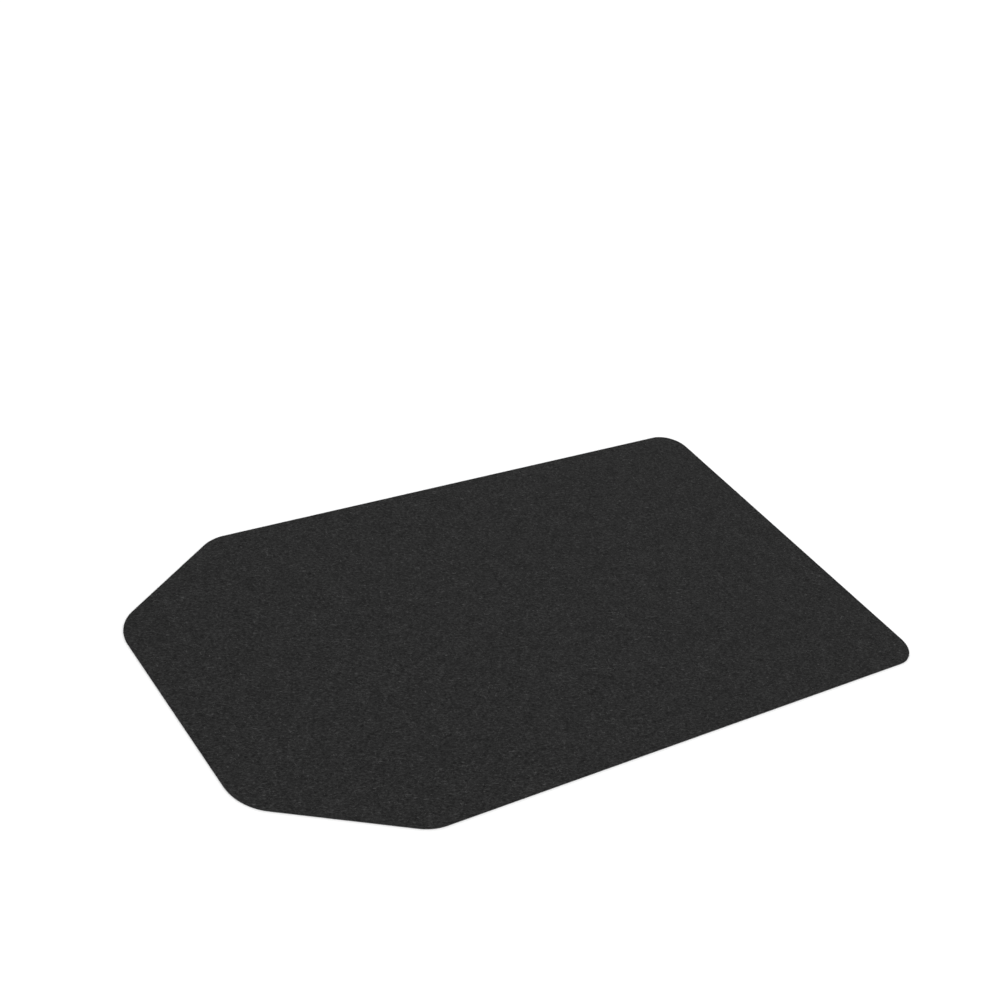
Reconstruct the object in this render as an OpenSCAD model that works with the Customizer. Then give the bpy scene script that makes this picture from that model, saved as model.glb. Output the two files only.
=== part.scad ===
// Flat office chair mat with two clipped corners at its narrow end.
// A needled felt face, its woven scrim, a hot-melt film and a rubber sheet are laminated
// and then die-cut together, so every layer has the same outline.
// Origin: centre of the length and width, on the floor. +X runs to the full-width end,
// +Y across the mat and +Z up to the face that the casters roll on.

/* [Outline] */
// Length, from the narrow end to the full-width end
mat_l = 1400; // [1200:10:1700]
// Width
mat_w = 800; // [700:10:1200]
// Distance that a clipped corner runs along the length
clip_l = 265; // [180:5:400]
// Distance that a clipped corner runs in from the long side
clip_w = 168; // [120:4:240]
// Radius of the rounding at both ends of a clipped corner
clip_r = 90; // [30:2:130]
// Radius of the corners at the full-width end
corner_r = 54; // [20:2:160]

/* [Layers, from the floor up] */
// Thickness of the rubber sheet that grips the floor, over its studs
backing_t = 1.0; // [0.6:0.1:2.5]
// Thickness of the hot-melt film that bonds the carpet to the rubber
film_t = 0.2; // [0.1:0.1:0.5]
// Thickness of the woven scrim that the felt is needled into
scrim_t = 0.3; // [0.2:0.1:0.6]
// Thickness of the needled felt face
felt_t = 2.5; // [1.5:0.1:5]

/* [Hidden] */

// Smoothness of the rounded corners, in pieces per full circle
arc_fn = 96;
// How far inside the corner discs the straight edges lie, so that the two always join
edge_inset = 0.002;

half_l = mat_l / 2;
half_w = mat_w / 2;

// Underside of each layer
film_z = backing_t;
scrim_z = film_z + film_t;
felt_z = scrim_z + scrim_t;

// Sharp corners of the outline, counter-clockwise, each with the radius that rounds it
CORNERS = [
    [[-half_l, -half_w + clip_w], clip_r],
    [[-half_l + clip_l, -half_w], clip_r],
    [[half_l, -half_w], corner_r],
    [[half_l, half_w], corner_r],
    [[-half_l + clip_l, half_w], clip_r],
    [[-half_l, half_w - clip_w], clip_r],
];
LAST = len(CORNERS) - 1;

// Position and radius of a corner, and the corners on either side of it
function at(i) = CORNERS[i][0];
function radius(i) = CORNERS[i][1];
function before(i) = at(i == 0 ? LAST : i - 1);
function after(i) = at(i == LAST ? 0 : i + 1);

// Direction from one point to another, as a unit vector
function towards(a, b) = (b - a) / norm(b - a);

// Half the angle between the two edges that meet at a corner
function half_angle(i) =
    acos(towards(at(i), before(i)) * towards(at(i), after(i))) / 2;

// Distance from a corner to the two points where its rounding meets the edges
function setback(i) = radius(i) / tan(half_angle(i));

// Centre of a corner's rounding
function arc_centre(i) =
    at(i) + radius(i) / sin(half_angle(i))
        * towards([0, 0], towards(at(i), before(i)) + towards(at(i), after(i)));

// The two points where the straight edges run into a corner's disc
function edge_ends(i) = [
    for (next = [before(i), after(i)])
        let (touch = at(i) + setback(i) * towards(at(i), next))
            touch + edge_inset * towards(touch, arc_centre(i))
];

// Outline of the whole mat: straight edges between the roundings, and a disc in each corner
module outline() {
    polygon([for (i = [0:LAST]) for (end = edge_ends(i)) end]);
    for (i = [0:LAST])
        translate(arc_centre(i))
            circle(r = radius(i), $fn = arc_fn);
}

// One layer of the laminate
module layer(z, thickness) {
    translate([0, 0, z])
        linear_extrude(height = thickness)
            outline();
}

// Rubber sheet under the whole mat, whose studs grip the floor
module grip_backing() {
    color([0.10, 0.10, 0.11])
        layer(0, backing_t);
}

// Hot-melt film that bonds the carpet to the rubber
module bond_film() {
    color([0.16, 0.16, 0.15])
        layer(film_z, film_t);
}

// Woven scrim that holds the felt to its size
module woven_scrim() {
    color([0.30, 0.30, 0.31])
        layer(scrim_z, scrim_t);
}

// Needled felt face that the casters roll on
module felt_face() {
    color([0.18, 0.18, 0.18])
        layer(felt_z, felt_t);
}

grip_backing();
bond_film();
woven_scrim();
felt_face();
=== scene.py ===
import math

import bpy
import numpy as np
from mathutils import Matrix, Vector


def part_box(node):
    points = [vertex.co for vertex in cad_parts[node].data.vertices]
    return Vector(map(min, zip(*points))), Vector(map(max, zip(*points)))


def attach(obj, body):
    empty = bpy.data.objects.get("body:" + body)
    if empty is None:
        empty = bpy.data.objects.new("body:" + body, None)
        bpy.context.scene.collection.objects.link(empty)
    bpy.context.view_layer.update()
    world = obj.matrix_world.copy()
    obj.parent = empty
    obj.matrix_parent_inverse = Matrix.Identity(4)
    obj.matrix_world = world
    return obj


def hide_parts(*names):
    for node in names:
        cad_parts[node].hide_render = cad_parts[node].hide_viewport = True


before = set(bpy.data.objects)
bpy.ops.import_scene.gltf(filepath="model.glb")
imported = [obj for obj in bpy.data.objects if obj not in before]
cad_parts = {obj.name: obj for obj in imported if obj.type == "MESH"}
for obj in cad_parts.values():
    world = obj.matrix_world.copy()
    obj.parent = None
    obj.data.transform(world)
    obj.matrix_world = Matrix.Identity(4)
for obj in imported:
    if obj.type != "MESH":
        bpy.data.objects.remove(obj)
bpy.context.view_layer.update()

# ---------------------------------------------------------------- sizes, in metres

MM = 0.001

FELT_LOW, FELT_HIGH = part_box("felt_face")
BACKING_LOW, BACKING_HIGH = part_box("grip_backing")
HALF_LENGTH = FELT_HIGH.x
HALF_WIDTH = FELT_HIGH.y
FELT_BOTTOM = FELT_LOW.z
FELT_TOP = FELT_HIGH.z

# The clipped corners and the radii, as in the CAD model
CLIP_LENGTH = 265 * MM
CLIP_WIDTH = 168 * MM
CLIP_RADIUS = 90 * MM
CORNER_RADIUS = 54 * MM
# Points that each stretch of a rounding is worked out with
ARC_POINTS = 40

# Felt face: the spacing of its mesh, and its unevenness as (width of the bumps, height)
FELT_GRID = 3.6 * MM
RELIEF = ((13 * MM, 0.10 * MM), (6.5 * MM, 0.10 * MM), (3.4 * MM, 0.09 * MM))
# Bumps worked out past the mat on each side
RELIEF_MARGIN = 3

# Cut edge of the felt: its rounding at the face, how far it swells below that and how rough the cut is
EDGE_ROUNDING = 1.3 * MM
EDGE_STEPS = 5
EDGE_SWELL = 0.05 * MM
EDGE_ROUGHNESS = 0.07 * MM

# Rubber sheet and its studs, whose roots go a little way into the sheet
BACKING_STEP = 6 * MM
STUD_HEIGHT = 0.4 * MM
STUD_ROOT = 0.05 * MM
STUD_PITCH = 14 * MM
STUD_RADIUS = 3 * MM
STUD_TOP_RADIUS = 2.3 * MM
STUD_SIDES = 8
STUD_MARGIN = 8 * MM

# Loose fibres: thin tubes that are thinner at their ends. Pairs are the least and the most.
FIBRE_POINTS = 4
FIBRE_SIDES = 3
FIBRE_TAPER = 0.55
FIBRE_TONE = "fibre_tone"
DARKEST_FIBRE = 0.015
RARITY_OF_LIGHT_FIBRES = 2.2

# Fibres on the face, whose ends are sunk into it
FACE_FIBRES = 9800
FACE_FIBRE_MARGIN = 5.5 * MM
FACE_FIBRE_LENGTH = (3 * MM, 8 * MM)
FACE_FIBRE_BEND = 0.8
FACE_FIBRE_LIFT = (0.10 * MM, 0.35 * MM)
FACE_FIBRE_SINK = 0.10 * MM
FACE_FIBRE_RADIUS = (0.06 * MM, 0.15 * MM)
LIGHTEST_FACE_FIBRE = 0.12

# Fibres along the cut edge, which start inside it
EDGE_FIBRES = 3600
EDGE_FIBRE_STEP = 1.0 * MM
EDGE_FIBRE_REACH = (0.15 * MM, 1.1 * MM)
EDGE_FIBRE_SWEEP = 1.3 * MM
EDGE_FIBRE_ROOT = 0.4 * MM
EDGE_FIBRE_HEIGHT = (FELT_BOTTOM + 0.3 * MM, FELT_TOP - 0.6 * MM)
EDGE_FIBRE_RISE = 0.1 * MM
EDGE_FIBRE_RISE_SPREAD = 0.5 * MM
EDGE_FIBRE_RADIUS = (0.035 * MM, 0.07 * MM)
LIGHTEST_EDGE_FIBRE = 0.07

# Floor: wide enough to fill every view, and just below the mat
FLOOR_HALF = 30.0
FLOOR_GAP = 0.05 * MM
FLOOR_GREY = 0.9

# Camera and lights: angles in degrees, lens and sensor in millimetres
CAMERA_AIM = Vector((0.1783, 0.3213, 0.0))
CAMERA_AZIMUTH = 41.55
CAMERA_ELEVATION = 34.64
CAMERA_ROLL = 13.31
CAMERA_DISTANCE = 3.551
CAMERA_SENSOR = 36.0
CAMERA_LENS = 62.52
CAMERA_FAR = 100.0
SUN_AZIMUTH = 30
SUN_ELEVATION = 58
SUN_STRENGTH = 0.8
SUN_SPREAD = 25
SKY_STRENGTH = 1.0

SEED = 41


# ---------------------------------------------------------------- camera, light and floor

def look_direction(azimuth, elevation):
    """The way a camera or a sun looks from this elevation above the floor. Azimuth 0 is along +Y, and 90
    along +X."""
    a, e = math.radians(azimuth), math.radians(elevation)
    return Vector((math.sin(a) * math.cos(e), math.cos(a) * math.cos(e), -math.sin(e)))


def make_camera():
    forward = look_direction(CAMERA_AZIMUTH, CAMERA_ELEVATION)
    roll = Matrix.Rotation(math.radians(CAMERA_ROLL), 3, "Z").to_quaternion()
    turn = forward.to_track_quat("-Z", "Y") @ roll
    data = bpy.data.cameras.new("camera")
    data.sensor_width = CAMERA_SENSOR
    data.lens = CAMERA_LENS
    data.clip_end = CAMERA_FAR
    camera = bpy.data.objects.new("camera", data)
    place = Matrix.Translation(CAMERA_AIM - CAMERA_DISTANCE * forward)
    camera.matrix_world = place @ turn.to_matrix().to_4x4()
    bpy.context.scene.collection.objects.link(camera)
    bpy.context.scene.camera = camera


def make_sun():
    """Soft light from one direction, the same all over the floor."""
    data = bpy.data.lights.new("key", "SUN")
    data.energy = SUN_STRENGTH
    data.angle = math.radians(SUN_SPREAD)
    sun = bpy.data.objects.new("key", data)
    sun.rotation_mode = "QUATERNION"
    sun.rotation_quaternion = look_direction(SUN_AZIMUTH, SUN_ELEVATION).to_track_quat("-Z", "Y")
    bpy.context.scene.collection.objects.link(sun)


def make_sky():
    """Even white light from all round."""
    world = bpy.data.worlds.new("studio")
    world.use_nodes = True
    background = world.node_tree.nodes["Background"]
    background.inputs["Color"].default_value = (1, 1, 1, 1)
    background.inputs["Strength"].default_value = SKY_STRENGTH
    bpy.context.scene.world = world


def pale_floor():
    material = bpy.data.materials.new("pale_floor")
    material.use_nodes = True
    surface = material.node_tree.nodes["Principled BSDF"]
    surface.inputs["Base Color"].default_value = (FLOOR_GREY, FLOOR_GREY, FLOOR_GREY, 1)
    surface.inputs["Roughness"].default_value = 0.9
    surface.inputs["Specular IOR Level"].default_value = 0.1
    return material


def make_floor():
    half = FLOOR_HALF
    level = BACKING_LOW.z - FLOOR_GAP
    corners = [(-half, -half, level), (half, -half, level), (half, half, level), (-half, half, level)]
    floor = mesh_object("floor", corners, [(0, 1, 2, 3)], smooth=False)
    wear(floor, pale_floor())


# ---------------------------------------------------------------- mesh helpers

def mesh_object(name, points, faces, smooth=True):
    mesh = bpy.data.meshes.new(name)
    mesh.from_pydata(np.asarray(points).tolist(), [], faces)
    mesh.validate()
    mesh.polygons.foreach_set("use_smooth", [smooth] * len(mesh.polygons))
    mesh.update()
    piece = bpy.data.objects.new(name, mesh)
    bpy.context.scene.collection.objects.link(piece)
    return piece


def wear(piece, material):
    """Give the piece this material and no other."""
    piece.data.materials.clear()
    piece.data.materials.append(material)


def smooth_step(share):
    return share * share * (3 - 2 * share)


def smooth_noise(x, y, cell, rng):
    """Noise from -1 to 1 that changes over one cell, as a random lattice joined by smooth steps."""
    spare = 2 * RELIEF_MARGIN + 2
    nx = int(2 * HALF_LENGTH / cell) + spare
    ny = int(2 * HALF_WIDTH / cell) + spare
    lattice = rng.uniform(-1, 1, (nx, ny))
    gx = (x + HALF_LENGTH) / cell + RELIEF_MARGIN
    gy = (y + HALF_WIDTH) / cell + RELIEF_MARGIN
    ix = np.clip(np.floor(gx).astype(int), 0, nx - 2)
    iy = np.clip(np.floor(gy).astype(int), 0, ny - 2)
    fx = smooth_step(gx - ix)
    fy = smooth_step(gy - iy)
    low = lattice[ix, iy] * (1 - fx) + lattice[ix + 1, iy] * fx
    high = lattice[ix, iy + 1] * (1 - fx) + lattice[ix + 1, iy + 1] * fx
    return low * (1 - fy) + high * fy


# ---------------------------------------------------------------- outline

def unit(v):
    return v / np.linalg.norm(v)


def rounded_corners():
    """Each corner of the outline, counter-clockwise from the narrow end: its rounding's centre, its radius
    and the angles of the outward directions between which it turns."""
    narrow, clipped = -HALF_LENGTH, -HALF_LENGTH + CLIP_LENGTH
    side, shortened = HALF_WIDTH, HALF_WIDTH - CLIP_WIDTH
    sharp = [
        ((narrow, -shortened), CLIP_RADIUS),
        ((clipped, -side), CLIP_RADIUS),
        ((HALF_LENGTH, -side), CORNER_RADIUS),
        ((HALF_LENGTH, side), CORNER_RADIUS),
        ((clipped, side), CLIP_RADIUS),
        ((narrow, shortened), CLIP_RADIUS),
    ]
    corners = []
    for i, (corner, radius) in enumerate(sharp):
        corner = np.array(corner)
        arriving = unit(corner - np.array(sharp[i - 1][0]))
        leaving = unit(np.array(sharp[(i + 1) % len(sharp)][0]) - corner)
        half = math.acos(np.clip(-arriving @ leaving, -1, 1)) / 2
        centre = corner + unit(leaving - arriving) * radius / math.sin(half)
        start = math.atan2(-arriving[0], arriving[1])
        turn = math.pi - 2 * half
        corners.append((centre, radius, start, start + turn))
    return corners


def arc(corner, start, end):
    """Points along part of a corner's rounding, from start to end, which go from 0 to 1, with the outward
    direction at each."""
    centre, radius, first, last = corner
    angles = first + (last - first) * np.linspace(start, end, ARC_POINTS)
    outward = np.column_stack((np.cos(angles), np.sin(angles)))
    return centre + radius * outward, outward


def joined(arcs):
    """The points of several arcs and their outward directions, one after the other."""
    return np.concatenate([points for points, _ in arcs]), np.concatenate([outward for _, outward in arcs])


def inside_outline(x, y, margin):
    """Whether each point is inside the outline by at least margin. The outline is convex, so a point is
    inside when it is behind every tangent. The straight stretches are tangents at the ends of the arcs."""
    points, outward = joined([arc(corner, 0, 1) for corner in rounded_corners()])
    past = np.column_stack((x, y)) @ outward.T - np.sum(points * outward, axis=1)
    return past.max(axis=1) < -margin


def side_of_outline(arcs, count):
    """A stretch of the outline through these arcs, as count + 1 evenly spaced points with their outward
    directions."""
    points, outward = joined(arcs)
    along = np.concatenate(([0], np.cumsum(np.linalg.norm(np.diff(points, axis=0), axis=1))))
    at = np.linspace(0, along[-1], count + 1)
    points = np.column_stack([np.interp(at, along, points[:, k]) for k in range(2)])
    outward = np.column_stack([np.interp(at, along, outward[:, k]) for k in range(2)])
    return points, outward / np.linalg.norm(outward, axis=1)[:, None]


def outline_sides(grid):
    """The outline as four sides that meet at the middle of a rounding: front, far end, back and narrow end.
    Each runs counter-clockwise, and opposite sides have the same number of points."""
    c = rounded_corners()
    long_count = round(2 * HALF_LENGTH / grid)
    short_count = round(2 * HALF_WIDTH / grid)
    front = side_of_outline([arc(c[0], 0.5, 1), arc(c[1], 0, 1), arc(c[2], 0, 0.5)], long_count)
    far_end = side_of_outline([arc(c[2], 0.5, 1), arc(c[3], 0, 0.5)], short_count)
    back = side_of_outline([arc(c[3], 0.5, 1), arc(c[4], 0, 1), arc(c[5], 0, 0.5)], long_count)
    narrow_end = side_of_outline([arc(c[5], 0.5, 1), arc(c[0], 0, 0.5)], short_count)
    return front, far_end, back, narrow_end


def perimeter(sides):
    """The whole outline once round, counter-clockwise, with the outward directions."""
    return joined([(points[:-1], outward[:-1]) for points, outward in sides])


def filled_grid(sides, inset):
    """A grid of points that fills the outline, drawn in by inset: rows run along the mat. A Coons patch."""
    front, far_end, back, narrow_end = [points - inset * outward for points, outward in sides]
    bottom, right = front[:, None], far_end[None, :]
    top, left = back[::-1][:, None], narrow_end[::-1][None, :]
    u = np.linspace(0, 1, len(front))[:, None, None]
    v = np.linspace(0, 1, len(far_end))[None, :, None]
    ruled = (1 - v) * bottom + v * top + (1 - u) * left + u * right
    corners = (1 - v) * ((1 - u) * front[0] + u * front[-1]) + v * ((1 - u) * back[-1] + u * back[0])
    return ruled - corners


def grid_faces(nu, nv):
    """Quads of a grid of nu by nv points stored row by row, facing up."""
    index = np.arange(nu * nv).reshape(nu, nv)
    quads = np.stack((index[:-1, :-1], index[1:, :-1], index[1:, 1:], index[:-1, 1:]), axis=-1)
    return quads.reshape(-1, 4)


def grid_border(nu, nv):
    """The grid's outer points once round, counter-clockwise, in the order of perimeter()."""
    index = np.arange(nu * nv).reshape(nu, nv)
    return np.concatenate((index[:-1, 0], index[-1, :-1], index[1:, -1][::-1], index[0, 1:][::-1]))


def ring_faces(upper, lower):
    """Quads between two rings of points that run counter-clockwise, facing outwards. Tables of many rings,
    one to a row, give one band of quads for each pair."""
    quads = np.stack((upper, lower, np.roll(lower, -1, -1), np.roll(upper, -1, -1)), axis=-1)
    return quads.reshape(-1, 4)


# ---------------------------------------------------------------- needled felt

def make_relief(rng):
    """The uneven height of the needled face, as a function of x and y."""
    seeds = rng.integers(0, 2**31, len(RELIEF))

    def height(x, y):
        return sum(
            amount * smooth_noise(x, y, cell, np.random.default_rng(seed))
            for (cell, amount), seed in zip(RELIEF, seeds)
        )

    return height


def edge_profile():
    """The cut edge from the face down to the scrim, as (how far in from the outline, height)."""
    profile = []
    for k in range(1, EDGE_STEPS + 1):
        angle = math.pi / 2 * k / EDGE_STEPS
        drop = EDGE_ROUNDING * (1 - math.cos(angle))
        profile.append((EDGE_ROUNDING * (1 - math.sin(angle)), FELT_TOP - drop))
    profile.append((-EDGE_SWELL, (FELT_TOP - EDGE_ROUNDING + FELT_BOTTOM) / 2))
    profile.append((0.0, FELT_BOTTOM))
    return profile


def make_felt(relief, rng):
    """The felt as one closed cloth: an uneven face, a soft cut edge and a flat underside on the scrim."""
    sides = outline_sides(FELT_GRID)
    flat = filled_grid(sides, EDGE_ROUNDING)
    nu, nv = flat.shape[:2]
    x, y = flat[..., 0].ravel(), flat[..., 1].ravel()
    points = [np.column_stack((x, y, FELT_TOP + relief(x, y)))]
    faces = [grid_faces(nu, nv)]
    outline, outward = perimeter(sides)
    upper = grid_border(nu, nv)
    start = nu * nv
    for step, (inset, height) in enumerate(edge_profile()):
        ragged = rng.uniform(-1, 1, len(outline)) * EDGE_ROUGHNESS
        at = outline - (inset + ragged)[:, None] * outward
        fade = max(0.0, 1 - (step + 1) / EDGE_STEPS)
        z = height + fade * relief(at[:, 0], at[:, 1])
        points.append(np.column_stack((at, z)))
        lower = np.arange(start, start + len(outline))
        faces.append(ring_faces(upper, lower))
        upper = lower
        start += len(outline)
    all_faces = np.concatenate(faces).tolist()
    all_faces.append(upper[::-1].tolist())
    return mesh_object("needled_felt", np.concatenate(points), all_faces)


# ---------------------------------------------------------------- loose fibres

def tubes(name, lines, radii, tones):
    """Thin closed tubes along many lines of equal point count: lines is (fibre, point, xyz). The mesh keeps
    each fibre's own brightness, from tones, for its material."""
    count, length = lines.shape[:2]
    along = np.gradient(lines, axis=1)
    along /= np.linalg.norm(along, axis=2, keepdims=True)
    across = np.cross(along, (0, 0, 1))
    across /= np.linalg.norm(across, axis=2, keepdims=True)
    upright = np.cross(across, along)
    taper = 1 - FIBRE_TAPER * np.abs(np.linspace(-1, 1, length)) ** 3
    angles = 2 * math.pi * np.arange(FIBRE_SIDES) / FIBRE_SIDES + math.pi / 2
    thick = (radii[:, None] * taper)[..., None, None]
    rings = (
        lines[:, :, None]
        + thick * np.cos(angles)[:, None] * across[:, :, None]
        + thick * np.sin(angles)[:, None] * upright[:, :, None]
    )
    index = np.arange(count * length * FIBRE_SIDES).reshape(count, length, FIBRE_SIDES)
    near, far = index[:, :-1], index[:, 1:]
    walls = ring_faces(near, far)
    caps = np.concatenate((index[:, 0], index[:, -1, ::-1]))
    piece = mesh_object(name, rings.reshape(-1, 3), walls.tolist() + caps.tolist())
    attribute = piece.data.attributes.new(FIBRE_TONE, "FLOAT", "POINT")
    attribute.data.foreach_set("value", np.repeat(tones, length * FIBRE_SIDES).astype(np.float32))
    return piece


def fibre_tones(count, lightest, rng):
    """Most fibres are charcoal like the felt, and few are light."""
    lightness = rng.uniform(0, 1, count) ** RARITY_OF_LIGHT_FIBRES
    return DARKEST_FIBRE + (lightest - DARKEST_FIBRE) * lightness


def make_face_fibres(relief, rng):
    """Loose curved fibres that lie on the face, with both ends worked into the felt. Places for twice as
    many are drawn, because some fall outside the outline."""
    x = rng.uniform(-HALF_LENGTH, HALF_LENGTH, 2 * FACE_FIBRES)
    y = rng.uniform(-HALF_WIDTH, HALF_WIDTH, 2 * FACE_FIBRES)
    kept = np.flatnonzero(inside_outline(x, y, FACE_FIBRE_MARGIN))[:FACE_FIBRES]
    middle = np.stack((x[kept], y[kept]))
    length = rng.uniform(*FACE_FIBRE_LENGTH, FACE_FIBRES)
    heading = rng.uniform(0, 2 * math.pi, FACE_FIBRES)
    bend = rng.normal(0, FACE_FIBRE_BEND, FACE_FIBRES)
    t = np.linspace(-0.5, 0.5, FIBRE_POINTS)
    angle = heading[:, None] + bend[:, None] * t
    course = np.cumsum(np.stack((np.cos(angle), np.sin(angle))), axis=2)
    course -= course.mean(axis=2, keepdims=True)
    px, py = middle[..., None] + course * length[:, None] / (FIBRE_POINTS - 1)
    lift = (1 - (2 * t) ** 2) * rng.uniform(*FACE_FIBRE_LIFT, FACE_FIBRES)[:, None]
    pz = FELT_TOP + relief(px.ravel(), py.ravel()).reshape(px.shape) + lift - FACE_FIBRE_SINK
    radii = rng.uniform(*FACE_FIBRE_RADIUS, FACE_FIBRES)
    tones = fibre_tones(FACE_FIBRES, LIGHTEST_FACE_FIBRE, rng)
    return tubes("face_fibres", np.stack((px, py, pz), axis=-1), radii, tones)


def make_edge_fibres(rng):
    """Short fibres that stand out of the cut edge all round the mat."""
    outline, outward = perimeter(outline_sides(EDGE_FIBRE_STEP))
    pick = rng.integers(0, len(outline), EDGE_FIBRES)
    base, out = outline[pick], outward[pick]
    along = np.column_stack((-out[:, 1], out[:, 0]))
    t = np.linspace(0, 1, FIBRE_POINTS)[None, :, None]
    reach = rng.uniform(*EDGE_FIBRE_REACH, EDGE_FIBRES)[:, None, None]
    sweep = rng.normal(0, EDGE_FIBRE_SWEEP, EDGE_FIBRES)[:, None, None]
    stand_out = (reach + EDGE_FIBRE_ROOT) * t - EDGE_FIBRE_ROOT
    flat = base[:, None] + stand_out * out[:, None] + sweep * t * t * along[:, None]
    height = rng.uniform(*EDGE_FIBRE_HEIGHT, EDGE_FIBRES)[:, None, None]
    rise = rng.normal(EDGE_FIBRE_RISE, EDGE_FIBRE_RISE_SPREAD, EDGE_FIBRES)[:, None, None]
    lines = np.concatenate((flat, height + rise * t * t), axis=-1)
    radii = rng.uniform(*EDGE_FIBRE_RADIUS, EDGE_FIBRES)
    return tubes("edge_fibres", lines, radii, fibre_tones(EDGE_FIBRES, LIGHTEST_EDGE_FIBRE, rng))


# ---------------------------------------------------------------- rubber backing

def stud_places():
    """Centres of the grip studs, in staggered rows that stop short of the edge."""
    row = STUD_PITCH * math.sqrt(3) / 2
    rows = int(HALF_WIDTH / row)
    columns = int(HALF_LENGTH / STUD_PITCH) + 1
    places = np.array([
        ((i + 0.5 * (j % 2)) * STUD_PITCH, j * row)
        for j in range(-rows, rows + 1)
        for i in range(-columns, columns + 1)
    ])
    return places[inside_outline(places[:, 0], places[:, 1], STUD_MARGIN)]


def level_rings(centres, radius, z):
    """A level ring of points round each centre."""
    angles = 2 * math.pi * (np.arange(STUD_SIDES) + 0.5) / STUD_SIDES
    ring = centres[:, None] + radius * np.column_stack((np.cos(angles), np.sin(angles)))
    return np.concatenate((ring, np.full(ring.shape[:2] + (1,), z)), axis=-1)


def make_backing():
    """The rubber sheet with its grip studs, which stand on the floor."""
    outline, _ = perimeter(outline_sides(BACKING_STEP))
    count = len(outline)
    web = BACKING_LOW.z + STUD_HEIGHT
    sheet = [np.column_stack((outline, np.full(count, z))) for z in (web, BACKING_HIGH.z)]
    under = np.arange(count)
    over = under + count
    faces = [under[::-1].tolist(), over.tolist()] + ring_faces(over, under).tolist()

    centres = stud_places()
    roots = level_rings(centres, STUD_RADIUS, web + STUD_ROOT)
    tips = level_rings(centres, STUD_TOP_RADIUS, BACKING_LOW.z)
    studs = np.stack((roots, tips), axis=1)
    index = 2 * count + np.arange(len(centres) * 2 * STUD_SIDES).reshape(len(centres), 2, STUD_SIDES)
    root, tip = index[:, 0], index[:, 1]
    faces += ring_faces(root, tip).tolist() + root.tolist() + tip[:, ::-1].tolist()
    points = np.concatenate(sheet + [studs.reshape(-1, 3)])
    return mesh_object("studded_backing", points, faces, smooth=False)


# ---------------------------------------------------------------- materials

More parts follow.
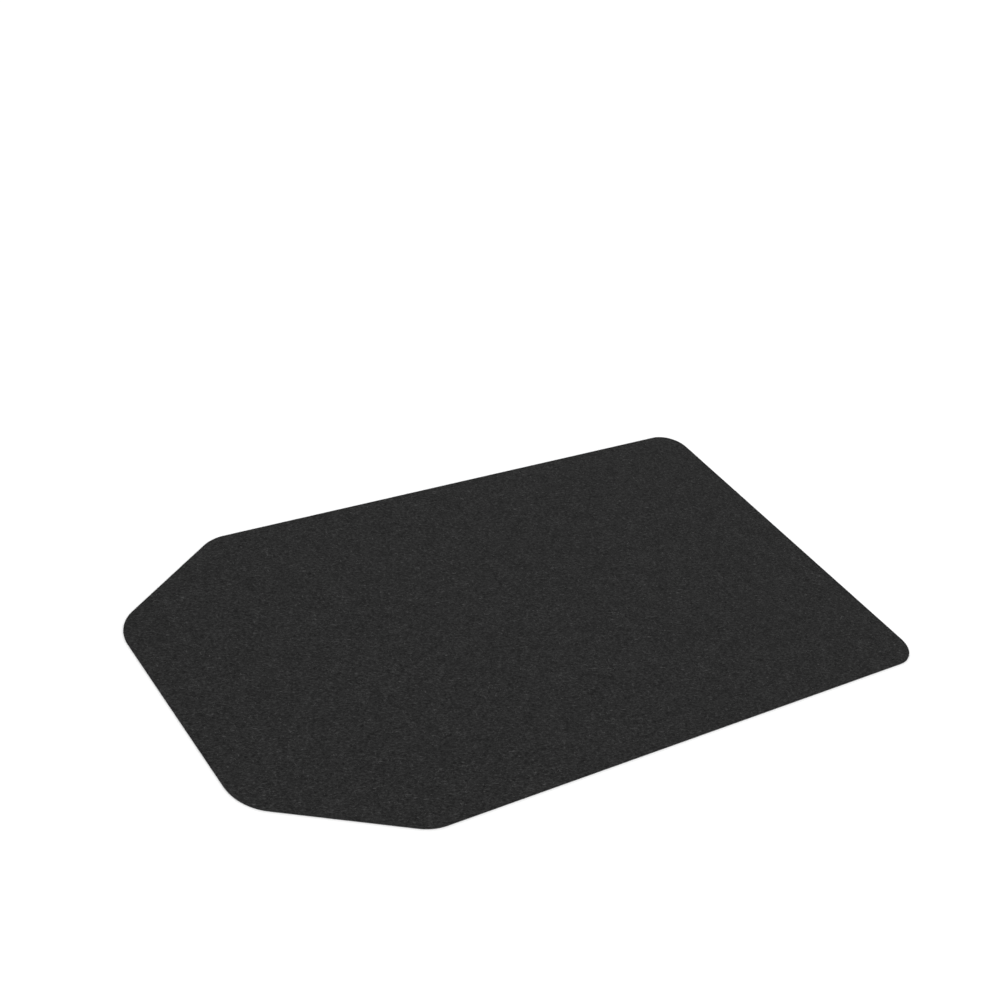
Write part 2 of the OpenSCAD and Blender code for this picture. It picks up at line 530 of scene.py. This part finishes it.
class Shader:
    """A material's nodes, with short calls for the few kinds used here. Lengths in its patterns are in
    millimetres."""

    def __init__(self, name):
        self.material = bpy.data.materials.new(name)
        self.material.use_nodes = True
        self.tree = self.material.node_tree
        self.surface = self.tree.nodes["Principled BSDF"]
        where = self.tree.nodes.new("ShaderNodeTexCoord").outputs["Object"]
        self.place = self.scaled(where, 1 / MM)

    def plug(self, value, socket):
        if isinstance(value, bpy.types.NodeSocket):
            self.tree.links.new(value, socket)
        else:
            socket.default_value = value

    def math(self, operation, *values):
        node = self.tree.nodes.new("ShaderNodeMath")
        node.operation = operation
        for value, socket in zip(values, node.inputs):
            self.plug(value, socket)
        return node.outputs[0]

    def vector(self, operation, *values):
        node = self.tree.nodes.new("ShaderNodeVectorMath")
        node.operation = operation
        for value, socket in zip(values, node.inputs):
            self.plug(value, socket)
        return node.outputs[0]

    def scaled(self, vector, factor):
        node = self.tree.nodes.new("ShaderNodeVectorMath")
        node.operation = "SCALE"
        self.plug(vector, node.inputs[0])
        self.plug(factor, node.inputs["Scale"])
        return node.outputs[0]

    def parts(self, vector):
        """A vector's x, y and z."""
        node = self.tree.nodes.new("ShaderNodeSeparateXYZ")
        self.plug(vector, node.inputs[0])
        return tuple(node.outputs)

    def noise(self, size, detail, roughness=0.5, at=None, colour=False):
        """Noise whose blobs are about size across, from 0 to 1."""
        node = self.tree.nodes.new("ShaderNodeTexNoise")
        self.plug(at or self.place, node.inputs["Vector"])
        node.inputs["Scale"].default_value = 1 / size
        node.inputs["Detail"].default_value = detail
        node.inputs["Roughness"].default_value = roughness
        return node.outputs["Color" if colour else "Fac"]

    def spread(self, value, low, high, new_low=0.0, new_high=1.0):
        """value from low to high becomes new_low to new_high, smoothly, and stays there outside."""
        node = self.tree.nodes.new("ShaderNodeMapRange")
        node.interpolation_type = "SMOOTHSTEP"
        self.plug(value, node.inputs["Value"])
        self.plug(low, node.inputs["From Min"])
        self.plug(high, node.inputs["From Max"])
        self.plug(new_low, node.inputs["To Min"])
        self.plug(new_high, node.inputs["To Max"])
        return node.outputs[0]

    def varied(self, noise, low, high):
        """A noise's usual range, from 0.3 to 0.7, becomes low to high."""
        return self.spread(noise, 0.3, 0.7, low, high)

    def turned(self, where, degrees):
        """where, turned about the vertical."""
        node = self.tree.nodes.new("ShaderNodeVectorRotate")
        node.rotation_type = "Z_AXIS"
        node.inputs["Angle"].default_value = math.radians(degrees)
        self.plug(where, node.inputs["Vector"])
        return node.outputs[0]

    def bent(self, size, amount):
        """The place, shifted by noise so that straight patterns bend."""
        shift = self.vector("SUBTRACT", self.noise(size, 1.0, colour=True), (0.5, 0.5, 0.5))
        return self.vector("ADD", self.place, self.scaled(shift, amount))

    def stretched(self, where, degrees, length, width):
        """Noise in short streaks that lie in one direction, from 0 to 1."""
        drawn_out = self.vector("MULTIPLY", self.turned(where, degrees), (1 / length, 1 / width, 1 / width))
        return self.noise(1.0, 1.0, 0.4, at=drawn_out)

    def strands(self, where, degrees, length, width, low, high):
        """Strands of about this length and width in one direction: 1 on a strand and 0 beside it."""
        return self.spread(self.stretched(where, degrees, length, width), low, high)

    def mixed(self, under, over, share):
        """under where share is 0 and over where it is 1."""
        return self.math("MULTIPLY_ADD", self.math("SUBTRACT", over, under), share, under)

    def bump(self, height, distance, strength):
        node = self.tree.nodes.new("ShaderNodeBump")
        node.inputs["Strength"].default_value = strength
        node.inputs["Distance"].default_value = distance
        self.plug(height, node.inputs["Height"])
        self.tree.links.new(node.outputs[0], self.surface.inputs["Normal"])

    def set(self, **values):
        for name, value in values.items():
            self.plug(value, self.surface.inputs[name.replace("_", " ")])


# Base colours, as the shares of light that the plain material gives back
FELT_TONE = 0.0209
RUBBER_TONE = 0.016

# Felt patterns, with directions in degrees and lengths and widths in millimetres.
# Fine strands: their direction, and their tone beside the cloth's own
STRAND_LAYERS = ((8, 0.80), (131, 0.88), (67, 1.10), (164, 0.84), (38, 1.30), (101, 1.05), (19, 1.75))
STRAND_LENGTH, STRAND_WIDTH = 4.5, 0.42
# Single fibres on top: their directions
FIBRE_LAYERS = (35, 118, 164)
FIBRE_LENGTH, FIBRE_WIDTH = 5.5, 0.18
# Tufts of many strands: direction, length, width and how much of the speckle they make
TUFT_LAYERS = ((19, 6.6, 2.3, 0.46), (66, 5.4, 2.1, 0.27), (158, 5.4, 2.1, 0.27))
TUFT_CONTRAST = 2.1
# Light flecks: direction, length, width, and the noise where a fleck starts and where it is full
FLECK_LAYERS = ((20, 10.5, 2.4, 0.67, 0.80), (103, 9.0, 2.2, 0.68, 0.81))
FLECK_LIGHT = 1.9


def felt_strands(s, where):
    """Dark strands pressed together in every direction: their tone and height. Later layers lie higher and
    have fewer strands."""
    tone = s.spread(s.noise(0.7, 2.0, 0.6), 0.25, 0.75, 0.75, 1.1)
    height = s.math("MULTIPLY", tone, 0.3)
    for layer, (degrees, shade) in enumerate(STRAND_LAYERS):
        low = 0.50 + 0.025 * layer
        strand = s.strands(where, degrees, STRAND_LENGTH, STRAND_WIDTH, low, low + 0.10)
        tone = s.mixed(tone, shade, strand)
        height = s.math("MAXIMUM", height, s.math("MULTIPLY", strand, 0.6 + 0.06 * layer))
    return tone, height


def felt_fibres(s, where):
    """Single fibres on top: 1 on a fibre and 0 beside it."""
    fibre = 0.0
    for degrees in FIBRE_LAYERS:
        fibre = s.math("MAXIMUM", s.strands(where, degrees, FIBRE_LENGTH, FIBRE_WIDTH, 0.50, 0.62), fibre)
    return fibre


def felt_tufts(s, where):
    """Lighter and darker tufts, about 1 on average."""
    speckle = 0.0
    for degrees, length, width, share in TUFT_LAYERS:
        speckle = s.math("MULTIPLY_ADD", s.stretched(where, degrees, length, width), 2 * share, speckle)
    return s.math("POWER", speckle, TUFT_CONTRAST)


def felt_flecks(s, where):
    """Short light flecks: 1 on a fleck and 0 beside it."""
    flecks = 0.0
    for layer in FLECK_LAYERS:
        flecks = s.math("MAXIMUM", s.strands(where, *layer), flecks)
    return flecks


def charcoal_felt():
    """Needled polyester: dark strands, tufts and single fibres, flecked with short lighter ones."""
    s = Shader("charcoal_felt")
    where = s.bent(8.0, 4.0)
    tone, height = felt_strands(s, where)
    fibre = felt_fibres(s, where)
    height = s.math("MULTIPLY_ADD", fibre, 0.25, height)
    patches = s.varied(s.noise(34.0, 2.0, 0.6), 0.93, 1.07)
    clumps = s.varied(s.noise(8.0, 1.0), 0.92, 1.08)
    for pattern in (felt_tufts(s, where), patches, clumps, s.spread(fibre, 0.0, 1.0, 0.76, 1.17)):
        tone = s.math("MULTIPLY", tone, pattern)
    light = s.math("MULTIPLY", felt_flecks(s, where), s.spread(fibre, 0.0, 1.0, 0.5, 1.15))
    tone = s.math("MULTIPLY_ADD", light, FLECK_LIGHT, tone)
    s.set(Base_Color=s.math("MULTIPLY", tone, FELT_TONE))
    s.set(Roughness=s.spread(height, 0.2, 1.0, 0.97, 0.84))
    s.set(Sheen_Weight=0.01, Sheen_Roughness=0.5, Specular_IOR_Level=0.01)
    s.bump(height, 0.3 * MM, 0.8)
    return s.material


def loose_fibre():
    """Single fibres on the felt. Each has its own tone, from charcoal to the light grey of the flecks."""
    s = Shader("loose_fibre")
    own = s.tree.nodes.new("ShaderNodeAttribute")
    own.attribute_name = FIBRE_TONE
    along = s.noise(1.5, 1.0)
    s.set(Base_Color=s.math("MULTIPLY", own.outputs["Fac"], s.varied(along, 0.85, 1.15)))
    s.set(Roughness=s.varied(along, 0.65, 0.85), Sheen_Weight=0.1, Specular_IOR_Level=0.25)
    s.bump(along, 0.02 * MM, 0.5)
    return s.material


def grip_rubber():
    """Matte black rubber with a fine moulded grain, slightly polished and dusty on top of the studs."""
    s = Shader("backing_rubber")
    grain = s.noise(0.9, 3.0, 0.6)
    cloud = s.noise(45.0, 3.0, 0.55)
    _, _, height = s.parts(s.place)
    touching = s.spread(height, 0.02, 0.25, 1.0, 0.0)
    worn = s.math("MULTIPLY", touching, s.spread(s.noise(5.0, 3.0), 0.35, 0.7, 0.2, 0.9))
    tone = s.math("MULTIPLY", s.varied(cloud, 0.85, 1.15), s.varied(grain, 0.75, 1.25))
    tone = s.math("ADD", tone, worn)
    s.set(Base_Color=s.math("MULTIPLY", tone, RUBBER_TONE))
    rough = s.math("SUBTRACT", s.varied(grain, 0.58, 0.72), s.math("MULTIPLY", touching, 0.1))
    s.set(Roughness=rough, Specular_IOR_Level=0.25)
    s.bump(grain, 0.12 * MM, 0.8)
    return s.material


def scrim_cloth():
    """Plain weave of flat dark tapes, each passing over one and under the next. Its colour carries painted
    shade: darker where the tapes dip at their edges and lighter on their crowns, following the same relief
    as the bump.
    """
    s = Shader("scrim_cloth")
    pitch = 1.6
    x, y, _ = s.parts(s.scaled(s.place, math.pi / pitch))
    warp, weft = s.math("SINE", x), s.math("SINE", y)
    warp_on_top = s.spread(s.math("MULTIPLY", s.math("SIGN", warp), s.math("SIGN", weft)), -1, 1)
    tape = s.mixed(s.math("ABSOLUTE", weft), s.math("ABSOLUTE", warp), warp_on_top)
    fleece = s.noise(0.8, 2.0)
    # Painted shade: the tone follows the tapes' height, dark in the dips and light on the crowns.
    tone = s.math("MULTIPLY", s.spread(tape, 0.1, 0.9, 0.02, 0.045), s.varied(fleece, 0.8, 1.2))
    s.set(Base_Color=tone, Roughness=s.varied(fleece, 0.6, 0.8), Specular_IOR_Level=0.3)
    s.bump(tape, 0.1 * MM, 0.8)
    return s.material


def hot_melt():
    """Dark hot-melt film, thin and slightly glossy, with uneven flow marks."""
    s = Shader("hot_melt_film")
    flow = s.noise(4.0, 4.0, 0.6)
    s.set(Base_Color=s.varied(flow, 0.018, 0.034), Roughness=s.varied(flow, 0.32, 0.55))
    s.bump(flow, 0.05 * MM, 0.4)
    return s.material


# ---------------------------------------------------------------- the scene

def finish_piece(piece, material, slot, *nodes):
    """The piece's material and body, and the CAD nodes that it stands in for."""
    wear(piece, material)
    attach(piece, "root")
    if nodes:
        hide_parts(*nodes)


def main():
    bpy.context.scene.view_settings.view_transform = "Standard"
    make_camera()
    make_sky()
    make_sun()
    make_floor()

    rng = np.random.default_rng(SEED)
    relief = make_relief(rng)
    felt = make_felt(relief, rng)
    face_fibres = make_face_fibres(relief, rng)
    edge_fibres = make_edge_fibres(rng)
    backing = make_backing()

    fibre_material = loose_fibre()
    finish_piece(felt, charcoal_felt(), "charcoal_felt", "felt_face")
    finish_piece(face_fibres, fibre_material, "charcoal_felt")
    finish_piece(edge_fibres, fibre_material, "charcoal_felt")
    finish_piece(backing, grip_rubber(), "backing_rubber", "grip_backing")
    wear(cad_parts["woven_scrim"], scrim_cloth())
    wear(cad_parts["bond_film"], hot_melt())


main()
